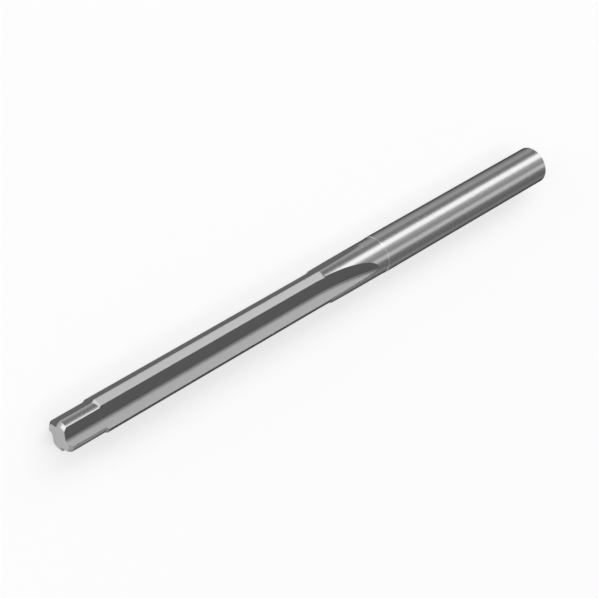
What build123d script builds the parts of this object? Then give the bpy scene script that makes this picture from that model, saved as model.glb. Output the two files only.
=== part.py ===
from build123d import *
import math
import os

# Machine reamer, ground from one bar: a guiding pilot, a reaming body, a neck and a plain shank.
# Sizes are in millimetres and degrees. The axis runs along X with the tip at +X, the middle of the
# length is at X = 0, and the reamer lies on the ground plane Z = 0.

# Lengths along the axis, from the tip backwards
pilot_length = 5.85
body_length = 42.65
neck_length = 11.9
shank_length = 37.3

# Diameters of the four sections. The neck widens a little towards the shank
pilot_diameter = 5.0
body_diameter = 5.85
neck_front_diameter = 5.78
neck_rear_diameter = 5.88
shank_diameter = 6.0

# Edge breaks at both ends, at 45 degrees, and the short cone that leads from the neck to the shank
tip_chamfer = 0.42
shank_chamfer = 0.4
shank_lead = 0.12

# Four teeth in opposite pairs. Narrow and wide pitches take turns, which keeps a reamer from chattering
narrow_pitch = 82.0
rake_lean = 12.0
back_lean = 5.0
margin_width = 0.1
land_relief = 22.0
step_angle = 45.0

# Flutes, as a grinding wheel leaves them: floors at the core, and a curved run-out at the rear
core_radius = 1.4
flute_root_radius = 0.45
flute_length = 45.8
run_out_radius = 50.0

# How far a cutting form reaches past the bar
cutter_clearance = 1.0

pilot_radius = pilot_diameter / 2
body_radius = body_diameter / 2
neck_front_radius = neck_front_diameter / 2
neck_rear_radius = neck_rear_diameter / 2
shank_radius = shank_diameter / 2
widest_radius = max(pilot_radius, body_radius, neck_front_radius, neck_rear_radius, shank_radius)

overall_length = pilot_length + body_length + neck_length + shank_length
tip_x = overall_length / 2
step_x = tip_x - pilot_length
step_height = body_radius - pilot_radius
land_front_x = step_x - step_height / math.tan(math.radians(step_angle))
body_end_x = step_x - body_length
shank_front_x = body_end_x - neck_length
shank_end_x = shank_front_x - shank_length
run_out_x = tip_x - flute_length

wide_pitch = 180.0 - narrow_pitch
cutter_reach = 2 * widest_radius + cutter_clearance


def polar(radius, angle):
    """Point of a cross-section, at an angle from +Y towards +Z."""
    turn = math.radians(angle)
    return Vector(radius * math.cos(turn), radius * math.sin(turn))


def back_normal(edge_angle):
    """Direction that the back of a tooth faces: the tooth thickens from its heel down to the core."""
    return polar(1, edge_angle - 90 + back_lean)


def land_of_tooth(edge_angle):
    """Ends of the flat land of a tooth: its start behind the margin, and its heel at the tooth's back."""
    start_angle = edge_angle - math.degrees(margin_width / body_radius)
    start = polar(body_radius, start_angle)
    fall = polar(1, start_angle - 90 - land_relief)
    back = back_normal(edge_angle)
    heel = start + fall * ((core_radius - start.dot(back)) / fall.dot(back))
    return start, heel


def resting_roll():
    """Angle of the cutting edge that lies on the ground beside the next tooth's heel, and the axis height."""
    edge = polar(body_radius, 0)
    heel = land_of_tooth(wide_pitch)[1]
    chord = heel - edge
    down = Vector(chord.Y, -chord.X).normalized()
    edge_angle = -90.0 - math.degrees(math.atan2(down.Y, down.X))
    axis_height = max(edge.dot(down), neck_front_radius, neck_rear_radius, shank_radius)
    return edge_angle, axis_height


def turned_rear():
    """Body, neck and shank as turned, with the lead-in cone and the edge break at the rear end."""
    body_front_x = step_x + step_height
    outline = Polyline(
        (body_front_x, 0),
        (body_front_x, body_radius),
        (body_end_x, body_radius),
        (body_end_x, neck_front_radius),
        (shank_front_x, neck_rear_radius),
        (shank_front_x - shank_lead, shank_radius),
        (shank_end_x + shank_chamfer, shank_radius),
        (shank_end_x, shank_radius - shank_chamfer),
        (shank_end_x, 0),
        close=True,
    )
    return revolve(make_face(outline), Axis.X)


def turned_pilot():
    """Pilot as turned, with the edge break at the tip and its rear end inside the body."""
    outline = Polyline(
        (tip_x, 0),
        (tip_x, pilot_radius - tip_chamfer),
        (tip_x - tip_chamfer, pilot_radius),
        (land_front_x, pilot_radius),
        (land_front_x, 0),
        close=True,
    )
    return revolve(make_face(outline), Axis.X)


def land_cutter(edge_angle):
    """What is ground off one tooth of the body: outside its flat land and outside its front chamfer."""
    start, heel = land_of_tooth(edge_angle)
    ahead = (start - heel).normalized()
    corner = heel - ahead * cutter_clearance
    side = Plane((0, corner.X, corner.Y), x_dir=(1, 0, 0), z_dir=(0, ahead.X, ahead.Y))
    nose_x = step_x + step_height + cutter_clearance
    nose_drop = (nose_x - land_front_x) * math.tan(math.radians(step_angle))
    outline = Polyline(
        (body_end_x, 0),
        (land_front_x, 0),
        (nose_x, -nose_drop),
        (nose_x, cutter_reach),
        (body_end_x, cutter_reach),
        close=True,
    )
    width = (start - heel).length + 2 * cutter_clearance
    return extrude(side * make_face(outline), width)


def flute_cutter(edge_angle, next_edge_angle):
    """The flute ahead of a cutting edge: straight to the tip, and swung out on the wheel at its rear end."""
    edge = polar(body_radius, edge_angle)
    rake_outward = polar(1, edge_angle - rake_lean)
    floor_normal = back_normal(next_edge_angle)
    floor_outward = Vector(-floor_normal.Y, floor_normal.X)

    # The floor is the back of the next tooth, and meets the rake face at the flute's root
    rise = rake_outward.dot(floor_normal)
    root = edge - rake_outward * ((edge.dot(floor_normal) - core_radius) / rise)
    rake_far = root + rake_outward * cutter_reach
    floor_far = root + floor_outward * cutter_reach
    rim = make_face(Polyline(root, rake_far, rake_far + floor_far - root, floor_far, close=True))
    rim = fillet(rim.vertices().sort_by_distance(root)[0], flute_root_radius)
    rim = Plane.YZ.offset(run_out_x) * rim
    straight = extrude(rim, flute_length + cutter_clearance)

    # The wheel leaves straight away from the bar's axis at the cutting edge, with its axle square to that
    wheel_centre = root + polar(run_out_radius, edge_angle)
    axle = polar(1, edge_angle - 90)
    wheel_axis = Axis((run_out_x, wheel_centre.X, wheel_centre.Y), (0, axle.X, axle.Y))
    swing = math.degrees(math.acos(1 - widest_radius / run_out_radius))
    return straight + revolve(rim, wheel_axis, swing)


def machine_reamer():
    """The finished reamer, lying across one of its wide flutes."""
    edge_angle, axis_height = resting_roll()
    edge_angles = [edge_angle + turn + pitch for turn in (0.0, 180.0) for pitch in (0.0, wide_pitch)]
    next_edge_angles = edge_angles[1:] + [edge_angles[0] + 360.0]
    reamer = turned_rear()
    for angle in edge_angles:
        reamer -= land_cutter(angle)
    reamer += turned_pilot()
    for angle, next_angle in zip(edge_angles, next_edge_angles):
        reamer -= flute_cutter(angle, next_angle)
    return Pos(0, 0, axis_height) * reamer


os.makedirs("parts", exist_ok=True)
export_step(machine_reamer(), "parts/machine_reamer.step")
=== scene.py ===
import math

import bmesh
import bpy
from mathutils import Matrix, Vector


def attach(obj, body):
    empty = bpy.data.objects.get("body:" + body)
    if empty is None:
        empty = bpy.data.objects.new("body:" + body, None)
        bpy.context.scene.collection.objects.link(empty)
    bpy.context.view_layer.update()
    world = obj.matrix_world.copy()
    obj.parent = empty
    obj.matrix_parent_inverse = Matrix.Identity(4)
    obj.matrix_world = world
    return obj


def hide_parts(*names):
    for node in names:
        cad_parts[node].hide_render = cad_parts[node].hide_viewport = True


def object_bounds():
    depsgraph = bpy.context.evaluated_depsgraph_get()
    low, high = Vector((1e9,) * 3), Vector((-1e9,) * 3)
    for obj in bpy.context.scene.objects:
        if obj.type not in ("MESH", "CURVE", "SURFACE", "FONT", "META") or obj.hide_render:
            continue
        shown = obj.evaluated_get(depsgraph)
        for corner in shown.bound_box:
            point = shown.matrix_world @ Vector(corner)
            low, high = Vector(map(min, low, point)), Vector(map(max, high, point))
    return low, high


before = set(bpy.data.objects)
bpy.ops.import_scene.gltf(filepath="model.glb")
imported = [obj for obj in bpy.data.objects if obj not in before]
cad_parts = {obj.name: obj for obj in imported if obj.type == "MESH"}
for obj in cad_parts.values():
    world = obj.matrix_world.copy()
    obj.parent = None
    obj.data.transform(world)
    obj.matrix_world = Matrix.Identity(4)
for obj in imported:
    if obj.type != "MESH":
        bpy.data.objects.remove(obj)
cadLow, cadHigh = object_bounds()  # metres, with +X towards the tip and the floor at Z = 0
axisHeight = (cadLow.z + cadHigh.z) / 2
print("frame loaded")


class Sock:  # a node's socket that takes part in Python expressions
    def __init__(self, nodes, socket):
        self.nodes = nodes
        self.socket = socket

    def maths(self, operation, *values):
        return self.nodes.node("ShaderNodeMath", {"operation": operation}, dict(enumerate(values)))

    def beside(self, output):  # another output of the same node
        return Sock(self.nodes, self.socket.node.outputs[output])

    def __add__(self, other):
        return self.maths("ADD", self, other)

    def __sub__(self, other):
        return self.maths("SUBTRACT", self, other)

    def __rsub__(self, other):
        return self.maths("SUBTRACT", other, self)

    def __mul__(self, other):
        return self.maths("MULTIPLY", self, other)

    def __gt__(self, other):
        return self.maths("GREATER_THAN", self, other)

    def __lt__(self, other):
        return self.maths("LESS_THAN", self, other)

    def __abs__(self):
        return self.maths("ABSOLUTE", self)

    __radd__ = __add__
    __rmul__ = __mul__


class Nodes:  # a node tree of any kind, with one method that adds any node
    def __init__(self, tree):
        self.tree = tree
        self.tree.nodes.clear()

    def node(self, kind, settings=None, inputs=None, output=0):
        made = self.tree.nodes.new(kind)
        for key, value in (settings or {}).items():
            setattr(made, key, value)
        for key, value in (inputs or {}).items():
            for one in value if isinstance(value, list) else [value]:  # a list fills a many-link socket
                if isinstance(one, Sock):
                    self.tree.links.new(one.socket, made.inputs[key])
                else:
                    made.inputs[key].default_value = one
        return Sock(self, made.outputs[output]) if made.outputs else None


def shaderOf(name):
    material = bpy.data.materials.new(name)
    material.use_nodes = True
    return material, Nodes(material.node_tree)


# tone is the metal's grey, lighter on the rake and end faces as painted light and on the ring as a painted
# highlight, and darker on the chamfers, flute backs and root as painted shade; edge is the share of light
# that is left where the surface turns away from the eye, and lines are the grinding lines in each metre
# along and across the axis
finishes = {
    "roundGround": {"tone": 0.36, "edge": 0.06, "roughness": 0.28, "lines": (9000, 150)},
    # the ring's lighter tone is a painted highlight
    "ringGround": {"tone": 0.56, "edge": 0.2, "roughness": 0.32, "lines": (9000, 150)},
    "landGround": {"tone": 0.375, "edge": 0.06, "roughness": 0.3, "lines": (150, 9000)},
    # the chamfers' darker tone is painted shade
    "chamferGround": {"tone": 0.31, "edge": 0.06, "roughness": 0.36, "lines": (150, 9000)},
    # the rake's lighter tone is painted light
    "rakeGround": {"tone": 0.425, "edge": 0.4, "roughness": 0.53, "lines": (150, 9000)},
    # the flute back's darker tone is painted shade in the flute
    "backGround": {"tone": 0.21, "edge": 0.4, "roughness": 0.9, "lines": (150, 9000)},
    # the root's darker tone is painted shade in the corner of the flute
    "rootGround": {"tone": 0.22, "edge": 0.4, "roughness": 0.45, "lines": (150, 9000)},
    # the end faces' lighter tone is painted light
    "endGroundPaintedLight": {"tone": 0.54, "edge": 0.4, "roughness": 0.34, "lines": (0, 7000)},
}
groundMetal = {
    "tint": (0.998, 1.0, 1.002),
    "lineDetail": 3.0,
    "lineTone": 0.06,
    "lineRoughness": 0.05,
    "lineDepth": 0.4e-6,  # metres
    "lineStrength": 0.5,
    "blotches": 350,  # in each metre
    "blotchTone": 0.06,
}
noiseMiddle = 0.5  # a noise texture's mean value


def groundFinish(name):
    look = finishes[name]
    along, across = look["lines"]
    material, shader = shaderOf(name)
    position = shader.node("ShaderNodeTexCoord", output="Object")
    x = shader.node("ShaderNodeSeparateXYZ", inputs={0: position})
    drawn = shader.node("ShaderNodeCombineXYZ", inputs={
        0: x * along,
        1: x.beside("Y") * across,
        2: x.beside("Z") * across,
    })
    grain = shader.node("ShaderNodeTexNoise", inputs={
        "Vector": drawn,
        "Scale": 1.0,
        "Detail": groundMetal["lineDetail"],
    })
    blotch = shader.node("ShaderNodeTexNoise", inputs={
        "Vector": position,
        "Scale": groundMetal["blotches"],
    })
    line = grain - noiseMiddle
    uneven = line * groundMetal["lineTone"] + (blotch - noiseMiddle) * groundMetal["blotchTone"]
    # the tone carries the painted light and painted shade that some finishes have, along with the grinding
    # lines and blotches
    tone = (uneven + 1) * look["tone"]
    red, green, blue = groundMetal["tint"]
    colour = shader.node("ShaderNodeCombineColor", inputs={0: tone * red, 1: tone * green, 2: tone * blue})
    bump = shader.node("ShaderNodeBump", inputs={
        "Strength": groundMetal["lineStrength"],
        "Distance": groundMetal["lineDepth"],
        "Height": grain,
    })
    surface = shader.node("ShaderNodeBsdfPrincipled", inputs={
        "Base Color": colour,
        "Metallic": 1.0,
        "Roughness": line * groundMetal["lineRoughness"] + look["roughness"],
        "Specular Tint": (look["edge"], look["edge"], look["edge"], 1),
        "Normal": bump,
    })
    shader.node("ShaderNodeOutputMaterial", inputs={"Surface": surface})
    return material


materials = {name: groundFinish(name) for name in finishes}
print("finishes made")


# millimetres and degrees, with X from the middle of the length towards the tip
reamerShape = {
    "tip": 48.85,
    "step": 43.0,  # where the pilot meets the chamfers of the body
    "bodyEnd": 0.35,
    "shankFront": -11.55,
    "shankEnd": -48.85,
    "pilotRadius": 2.5,
    "bodyRadius": 2.925,
    "neckFrontRadius": 2.89,
    "neckRearRadius": 2.94,
    "shankRadius": 3.0,
    "tipChamfer": 0.42,
    "shankChamfer": 0.4,
    "shankLead": 0.12,
    "firstEdge": -128.92568,  # the cutting edge that lies on the floor
    "widePitch": 98.0,
    "rakeLean": 12.0,
    "backLean": 5.0,
    "marginWidth": 0.1,
    "landRelief": 22.0,
    "coreRadius": 1.4,
    "rootRadius": 0.45,
    "rootSeam": 0.03,  # narrow strip that keeps the flat faces flat beside the rounded root
    "runOut": 3.05,  # where the flute starts to swing out
    "runOutRadius": 50.0,
    "reach": 7.0,  # how far a cutter stands out from the faces that it leaves
    "overrun": 1.0,  # how far a cutter runs past the ends of these faces
    "turnSteps": 288,
    "rootSteps": 20,
    "runOutSteps": 48,
    "mergeWithin": 0.0005,
    "smoothBelow": 14.0,
}
metresPerMillimetre = 0.001
endFacing = 0.95  # an end face has at least this share of its normal along the axis


def polar(radius, angle):
    turn = math.radians(angle)
    return Vector((radius * math.cos(turn), radius * math.sin(turn)))


def loft(name, sections, bandFinishes):
    # closed sections joined one after the other, with a flat face at both ends,
    # and a list of finishes for each band between sections, one for each side; short lists start again
    count = len(sections[0])
    points = [point for section in sections for point in section]
    endFaces = [range(count), range(len(points) - count, len(points))]
    sideFaces = []
    for band in range(0, len(points) - count, count):
        for side in range(count):
            after = (side + 1) % count
            sideFaces.append((band + side, band + after, band + count + after, band + count + side))
    mesh = bpy.data.meshes.new(name)
    mesh.from_pydata(points, [], [tuple(face) for face in endFaces + sideFaces])
    names = sorted({finish for band in bandFinishes for finish in band})
    for finish in names:
        mesh.materials.append(materials[finish])
    for number, face in enumerate(mesh.polygons[len(endFaces):]):
        band, side = divmod(number, count)
        sideFinishes = bandFinishes[band % len(bandFinishes)]
        face.material_index = names.index(sideFinishes[side % len(sideFinishes)])
    shape = bmesh.new()
    shape.from_mesh(mesh)
    bmesh.ops.recalc_face_normals(shape, faces=shape.faces)
    shape.to_mesh(mesh)
    shape.free()
    made = bpy.data.objects.new(name, mesh)
    bpy.context.scene.collection.objects.link(made)
    return made


def turned(name, outline, ring=None):
    # ring is the number of the one band, from the front, that has the ring's finish, whose lighter tone is
    # a painted highlight
    steps = reamerShape["turnSteps"]
    circle = [polar(1, 360 * step / steps) for step in range(steps)]
    sections = [[(x, *(point * radius)) for point in circle] for x, radius in outline]
    bands = range(len(outline) - 1)
    return loft(name, sections, [["ringGround" if band == ring else "roundGround"] for band in bands])


def landCutter():
    # what is ground off the tooth whose cutting edge is at angle 0: outside its flat land and front chamfer
    shape = reamerShape
    startAngle = -math.degrees(shape["marginWidth"] / shape["bodyRadius"])
    start = polar(shape["bodyRadius"], startAngle)
    fall = polar(1, startAngle - 90 - shape["landRelief"])
    back = polar(1, shape["backLean"] - 90)
    heel = start + fall * ((shape["coreRadius"] - start.dot(back)) / fall.dot(back))
    outward = Vector((-fall.y, fall.x))
    height = shape["bodyRadius"] - shape["pilotRadius"]
    front = shape["step"] - height
    nose = shape["step"] + 2 * height  # past the front of the blank
    outline = [
        (shape["bodyEnd"], 0),
        (front, 0),
        (nose, front - nose),  # the chamfer falls at 45 degrees
        (nose, shape["reach"]),
        (shape["bodyEnd"], shape["reach"]),
    ]
    ends = [heel + fall * shape["overrun"], start - fall * shape["overrun"]]
    sections = [[(x, *(end + outward * rise)) for x, rise in outline] for end in ends]
    # the chamfer faces take the darker chamfer tone, which is painted shade
    sides = ["landGround", "chamferGround"] + ["landGround"] * 3
    return loft("landCutter", sections, [sides])


def fluteCutter(name, pitch):
    # the flute ahead of the cutting edge at angle 0, whose floor is the back of the next tooth
    shape = reamerShape
    edge = polar(shape["bodyRadius"], 0)
    rake = polar(1, -shape["rakeLean"])
    floorNormal = polar(1, pitch - 90 + shape["backLean"])
    floor = Vector((-floorNormal.y, floorNormal.x))
    rise = rake.dot(floorNormal)
    root = edge - rake * ((edge.dot(floorNormal) - shape["coreRadius"]) / rise)

    # the rounded root touches both faces
    half = rake.angle(floor) / 2
    middle = root + (rake + floor).normalized() * (shape["rootRadius"] / math.sin(half))
    tangent = shape["rootRadius"] / math.tan(half)
    steps = shape["rootSteps"]
    first = root + rake * tangent - middle
    sweep = first.angle_signed(root + floor * tangent - middle)
    arc = [middle + Matrix.Rotation(-sweep * step / steps, 2) @ first for step in range(steps + 1)]
    seam = tangent + shape["rootSeam"]
    far = shape["reach"]
    rim = [root + rake * far, root + rake * seam, *arc, root + floor * seam, root + floor * far]
    rim.append(root + (rake + floor) * far)
    # the rake's lighter tone is painted light, and the root's and back's darker tones are painted shade
    sides = ["rakeGround"] * 2 + ["rootGround"] * steps + ["backGround"] * 4

    lift = polar(1, 0)  # the wheel leaves straight away from the axis, at the cutting edge
    wheelRadius = shape["runOutRadius"]
    swing = math.acos(1 - shape["shankRadius"] / wheelRadius)
    sections = [[(shape["tip"] + shape["overrun"], *point) for point in rim]]
    for step in range(shape["runOutSteps"] + 1):
        turn = swing * step / shape["runOutSteps"]
        section = []
        for point in rim:
            lever = wheelRadius - (point - root).dot(lift)
            swung = point + lift * lever * (1 - math.cos(turn))
            section.append((shape["runOut"] - lever * math.sin(turn), *swung))
        sections.append(section)
    return loft(name, sections, [sides])


def grindingTree():
    # cutters stand at both ends of a half turn, and take their share off the turned blank
    tree = bpy.data.node_groups.new("reamerGrinding", "GeometryNodeTree")
    sockets = {
        "Blank": "NodeSocketGeometry",
        "Pilot": "NodeSocketObject",
        "Land cutter": "NodeSocketObject",
        "Wide flute cutter": "NodeSocketObject",
        "Narrow flute cutter": "NodeSocketObject",
        "First edge": "NodeSocketFloat",
        "Wide pitch": "NodeSocketFloat",
        "Merge within": "NodeSocketFloat",
        "Smooth below": "NodeSocketFloat",
        "Axis height": "NodeSocketFloat",
    }
    keys = {name: tree.interface.new_socket(name, in_out="INPUT", socket_type=kind).identifier
            for name, kind in sockets.items()}
    tree.interface.new_socket("Reamer", in_out="OUTPUT", socket_type="NodeSocketGeometry")
    grinding = Nodes(tree)
    given = grinding.node("NodeGroupInput")

    def meshOf(name):
        return grinding.node("GeometryNodeObjectInfo", inputs={0: given.beside(name)}, output="Geometry")

    def pair(cutter, angle):
        halfTurns = grinding.node("GeometryNodeInputIndex") * math.pi
        return grinding.node("GeometryNodeInstanceOnPoints", inputs={
            "Points": grinding.node("GeometryNodeMeshLine", inputs={"Count": 2, "Offset": (0, 0, 0)}),
            "Instance": meshOf(cutter),
            "Rotation": grinding.node("ShaderNodeCombineXYZ", inputs={0: halfTurns + angle}),
        })

    def boolean(operation, meshes):
        return grinding.node("GeometryNodeMeshBoolean", {"operation": operation, "solver": "EXACT"}, meshes)

    first = given.beside("First edge")
    second = first + given.beside("Wide pitch")
    lands = [pair("Land cutter", first), pair("Land cutter", second)]
    flutes = [pair("Wide flute cutter", first), pair("Narrow flute cutter", second)]
    relieved = boolean("DIFFERENCE", {"Mesh 1": given.beside("Blank"), "Mesh 2": lands})
    whole = boolean("UNION", {"Mesh 2": [relieved, meshOf("Pilot")]})
    fluted = boolean("DIFFERENCE", {"Mesh 1": whole, "Mesh 2": flutes})
    clean = grinding.node("GeometryNodeMergeByDistance", inputs={
        "Geometry": fluted,
        "Distance": given.beside("Merge within"),
    })
    smoothFaces = grinding.node("GeometryNodeSetShadeSmooth", {"domain": "FACE"}, {
        "Geometry": clean,
        "Shade Smooth": True,
    })
    edgeAngle = grinding.node("GeometryNodeInputMeshEdgeAngle", output="Unsigned Angle")
    shaded = grinding.node("GeometryNodeSetShadeSmooth", {"domain": "EDGE"}, {
        "Geometry": smoothFaces,
        "Shade Smooth": edgeAngle < given.beside("Smooth below"),
    })
    placed = grinding.node("GeometryNodeTransform", inputs={
        "Geometry": shaded,
        "Translation": grinding.node("ShaderNodeCombineXYZ", inputs={2: given.beside("Axis height")}),
        "Scale": (metresPerMillimetre, metresPerMillimetre, metresPerMillimetre),
    })
    normal = grinding.node("ShaderNodeSeparateXYZ", inputs={0: grinding.node("GeometryNodeInputNormal")})
    # end faces take the lighter end tone, which is painted light
    ended = grinding.node("GeometryNodeSetMaterial", inputs={
        "Geometry": grinding.node("GeometryNodeRealizeInstances", inputs={"Geometry": placed}),
        "Selection": abs(normal) > endFacing,
        "Material": materials["endGroundPaintedLight"],
    })
    grinding.node("NodeGroupOutput", inputs={0: ended})
    return tree, keys


def groundReamer():
    shape = reamerShape
    height = shape["bodyRadius"] - shape["pilotRadius"]
    blank = turned("turnedBlank", [
        (shape["step"] + height, shape["bodyRadius"]),
        (shape["bodyEnd"], shape["bodyRadius"]),
        (shape["bodyEnd"], shape["neckFrontRadius"]),
        (shape["shankFront"], shape["neckRearRadius"]),
        (shape["shankFront"] - shape["shankLead"], shape["shankRadius"]),
        (shape["shankEnd"] + shape["shankChamfer"], shape["shankRadius"]),
        (shape["shankEnd"], shape["shankRadius"] - shape["shankChamfer"]),
    ], ring=3)
    pilot = turned("turnedPilot", [
        (shape["tip"], shape["pilotRadius"] - shape["tipChamfer"]),
        (shape["tip"] - shape["tipChamfer"], shape["pilotRadius"]),
        (shape["step"] - height, shape["pilotRadius"]),
    ])
    tools = {
        "Pilot": pilot,
        "Land cutter": landCutter(),
        "Wide flute cutter": fluteCutter("wideFlute", shape["widePitch"]),
        "Narrow flute cutter": fluteCutter("narrowFlute", 180 - shape["widePitch"]),
    }
    values = {
        "First edge": math.radians(shape["firstEdge"]),
        "Wide pitch": math.radians(shape["widePitch"]),
        "Merge within": shape["mergeWithin"],
        "Smooth below": math.radians(shape["smoothBelow"]),
        "Axis height": axisHeight,
    }
    tree, keys = grindingTree()
    grinding = blank.modifiers.new("grinding", "NODES")
    grinding.node_group = tree
    for name, value in (tools | values).items():
        grinding[keys[name]] = value
    ground = blank.evaluated_get(bpy.context.evaluated_depsgraph_get())
    mesh = bpy.data.meshes.new_from_object(ground)
    mesh.name = "groundReamer"
    reamer = bpy.data.objects.new("groundReamer", mesh)
    bpy.context.scene.collection.objects.link(reamer)
    for used in (blank, *tools.values()):
        bpy.data.objects.remove(used)
    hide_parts("machine_reamer")
    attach(reamer, "root")
    return reamer


reamer = groundReamer()
print("reamer ground:", len(reamer.data.polygons), "faces")


floorLook = {
    "radius": 4.0,  # metres
    "sides": 96,
    "colour": (0.92, 0.92, 0.92),
    "white": 0.6,  # share of plain white that the camera and reflections see, over the shaded floor
}


def studioFloor():
    bpy.ops.mesh.primitive_circle_add(
        vertices=floorLook["sides"], radius=floorLook["radius"], fill_type="NGON")
    floor = bpy.context.object
    floor.name = "studioFloor"
    material, shader = shaderOf("paleFloor")
    camera = shader.node("ShaderNodeLightPath", output="Is Camera Ray")
    seen = camera + camera.beside("Is Glossy Ray") + camera.beside("Is Transmission Ray")
    surface = shader.node("ShaderNodeMixShader", inputs={
        0: seen * floorLook["white"],
        1: shader.node("ShaderNodeBsdfDiffuse", inputs={"Color": (*floorLook["colour"], 1)}),
        2: shader.node("ShaderNodeEmission", inputs={"Color": (1, 1, 1, 1), "Strength": 1.0}),
    })
    shader.node("ShaderNodeOutputMaterial", inputs={"Surface": surface})
    floor.data.materials.append(material)


studioFloor()
print("floor laid")


# in metres; direction points from the reamer to the softbox, length lies along X as far as it can,
# and brightness 1 is white
softboxes = {
    "keyStrip": {
        "direction": (-0.33, -0.605, 0.71), "distance": 2.0,
        "length": 4.6, "width": 0.9, "brightness": 2.0,
    },
    "fillStrip": {
        "direction": (-0.33, 0.40, 0.855), "distance": 2.0,
        "length": 4.6, "width": 0.7, "brightness": 0.9,
    },
    "topStrip": {
        "direction": (-0.33, -0.16, 0.93), "distance": 2.1,
        "length": 4.6, "width": 0.7, "brightness": 0.3,
    },
    "frontBox": {
        "direction": (0.79, -0.43, 0.43), "distance": 2.0,
        "length": 0.8, "width": 2.3, "brightness": 2.4,
    },
}
worldGrey = 0.34
areaLampFactor = 4.0  # watts for each square metre at brightness 1


def studioLight():
    for name, box in softboxes.items():
        lamp = bpy.data.lights.new(name, "AREA")
        lamp.shape = "RECTANGLE"
        lamp.size = box["length"]
        lamp.size_y = box["width"]
        lamp.energy = areaLampFactor * box["brightness"] * box["length"] * box["width"]
        outward = Vector(box["direction"]).normalized()
        across = outward.cross(Vector((1, 0, 0))).normalized()
        along = across.cross(outward)
        light = bpy.data.objects.new(name, lamp)
        place = Matrix.Translation(outward * box["distance"])
        light.matrix_world = place @ Matrix((along, across, outward)).transposed().to_4x4()
        light.visible_camera = False
        bpy.context.scene.collection.objects.link(light)
    world = bpy.data.worlds.new("studioWorld")
    world.use_nodes = True
    background = world.node_tree.nodes["Background"]
    background.inputs["Color"].default_value = (worldGrey, worldGrey, worldGrey, 1)
    bpy.context.scene.world = world


studioLight()
print("studio lit")


cameraView = {
    "lens": 111.7,  # mm, on the sensor width below
    "sensor": 36.0,
    "distance": 0.2685,  # metres
    "clipStart": 0.002685,
    "behindTip": 0.04443,  # where the camera looks, on the reamer's axis
    "turn": 58.97,  # degrees about the axis, from +Y to the picture's first cross direction
}


def photoCamera():
    turn = math.radians(cameraView["turn"])
    along = Vector((1, 0, 0))
    side = Vector((0, math.cos(turn), math.sin(turn)))
    rise = along.cross(side)
    right = (side - along).normalized()  # an even three-axis view, as on a drawing
    back = (along + side + rise).normalized()
    up = back.cross(right)
    target = Vector((cadHigh.x - cameraView["behindTip"], 0, axisHeight))
    data = bpy.data.cameras.new("photoCamera")
    data.lens = cameraView["lens"]
    data.sensor_width = cameraView["sensor"]
    data.clip_start = cameraView["clipStart"]
    camera = bpy.data.objects.new("photoCamera", data)
    place = Matrix.Translation(target + back * cameraView["distance"])
    camera.matrix_world = place @ Matrix((right, up, back)).transposed().to_4x4()
    bpy.context.scene.collection.objects.link(camera)
    bpy.context.scene.camera = camera


photoCamera()
bpy.context.scene.view_settings.view_transform = "Standard"
print("camera placed")
